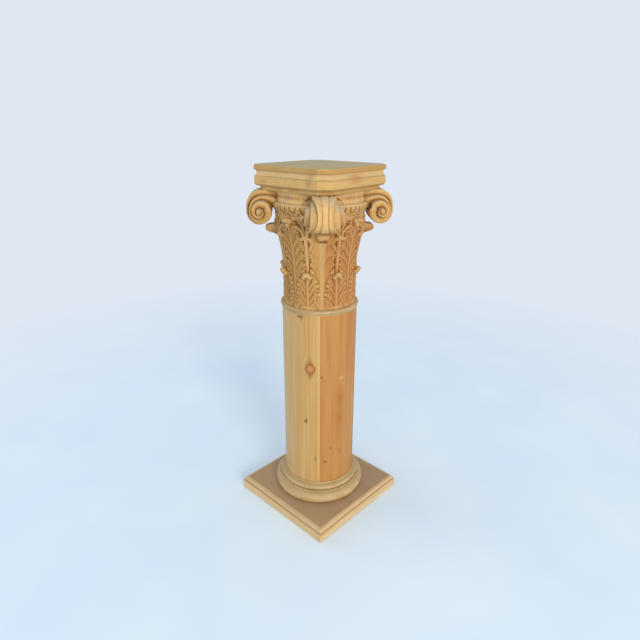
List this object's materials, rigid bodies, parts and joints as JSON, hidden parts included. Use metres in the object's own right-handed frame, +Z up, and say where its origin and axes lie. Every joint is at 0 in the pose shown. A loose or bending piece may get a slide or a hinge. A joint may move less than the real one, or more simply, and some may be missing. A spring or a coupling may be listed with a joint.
{
  "type": "pedestal column stand",
  "caption": "Pine pedestal stand: square plinth, turned base moulding, plain round shaft, carved leaf and scroll capital, and a square top board to stand something on.",
  "frame": {"origin": "middle of the plinth's underside, on the floor", "axes": "+Z up along the shaft; +X and +Y square to the plinth's sides; the corner that faces the picture's camera lies towards +X -Y"},
  "size_m": [0.34, 0.34, 0.99],
  "materials": {
    "brown_pine": "dry, matt, brown",
    "edge_pine": "satin, pale",
    "screw_steel": "bright zinc",
    "turned_pine": "satin, olive tan",
    "orange_pine": "satin, orange",
    "honey_pine": "satin, honey",
    "hidden_pine": "bare sawn wood",
    "carved_pine": "carved, satin, brown in the hollows",
    "scroll_pine": "carved, satin",
    "board_pine": "satin, khaki"
  },
  "bodies": {
    "root": {"plinth_board": "brown_pine", "plinth_edge_front_right": "edge_pine", "plinth_edge_back_right": "edge_pine", "plinth_edge_back_left": "edge_pine", "plinth_edge_front_left": "edge_pine", "plinth_screw_1": "screw_steel", "plinth_screw_2": "screw_steel", "plinth_screw_3": "screw_steel", "plinth_screw_4": "screw_steel", "base_moulding": "turned_pine", "shaft_quarter_front_right": "orange_pine", "shaft_quarter_back_right": "orange_pine", "shaft_quarter_back_left": "honey_pine", "shaft_quarter_front_left": "honey_pine", "shaft_foot_plug": "hidden_pine", "shaft_head_plug": "hidden_pine", "astragal_ring": "turned_pine", "capital_quarter_front_right": "carved_pine", "capital_quarter_back_right": "carved_pine", "capital_quarter_back_left": "carved_pine", "capital_quarter_front_left": "carved_pine", "echinus_ring": "carved_pine", "scroll_bed": "scroll_pine", "corner_scroll_front": "scroll_pine", "corner_scroll_right": "scroll_pine", "corner_scroll_back": "scroll_pine", "corner_scroll_left": "scroll_pine", "scroll_dowel_front": "hidden_pine", "scroll_dowel_right": "hidden_pine", "scroll_dowel_back": "hidden_pine", "scroll_dowel_left": "hidden_pine", "capital_plug": "hidden_pine", "bed_board": "board_pine", "abacus_moulding": "board_pine", "top_board": "board_pine"}
  },
  "joints": []
}
